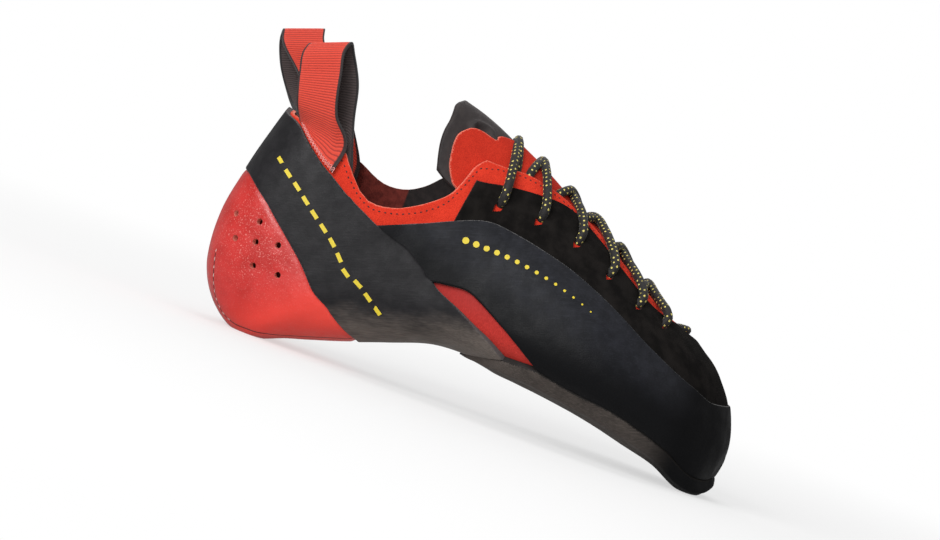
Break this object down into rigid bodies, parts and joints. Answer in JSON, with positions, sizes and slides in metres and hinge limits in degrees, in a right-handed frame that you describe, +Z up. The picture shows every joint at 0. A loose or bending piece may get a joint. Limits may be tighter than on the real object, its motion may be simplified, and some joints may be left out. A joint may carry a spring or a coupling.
{
  "type": "climbing shoe",
  "caption": "Low-cut laced climbing shoe for a right foot, with a cambered rubber forefoot sole, rubber heel band and rand, suede upper and two webbing pull loops.",
  "frame": {"origin": "on the floor at the middle of the flat spot under the heel", "axes": "+X from heel to toe, +Y towards the big toe's side, +Z up; the shoe stands on heel and forefoot"},
  "size_m": [0.2429, 0.0917, 0.1338],
  "materials": {
    "suede": "orange-red suede with a short nap and pale cut edges",
    "heel_leather": "smooth red coated leather, semi-gloss, fine grain",
    "rubber": "matt charcoal climbing rubber, buffed",
    "sole_rubber": "matt brownish black climbing rubber with sanding streaks",
    "microsuede": "near-black dull microsuede",
    "tongue_fabric": "smooth brown-black bonded fabric",
    "lining": "brushed dark lining",
    "webbing": "ribbed orange-red webbing, black edges and back",
    "lace": "black braided round lace with pale yellow flecks"
  },
  "bodies": {
    "root": {"upper": "suede", "insole": "lining", "tongue": "tongue_fabric", "tongue_facing": "suede", "heel_cup": "heel_leather", "heel_band": "rubber", "rand": "rubber", "vamp_panel": "microsuede", "outsole": "sole_rubber", "pull_loop_lateral": "webbing", "pull_loop_medial": "webbing", "laces": "lace"}
  },
  "joints": []
}
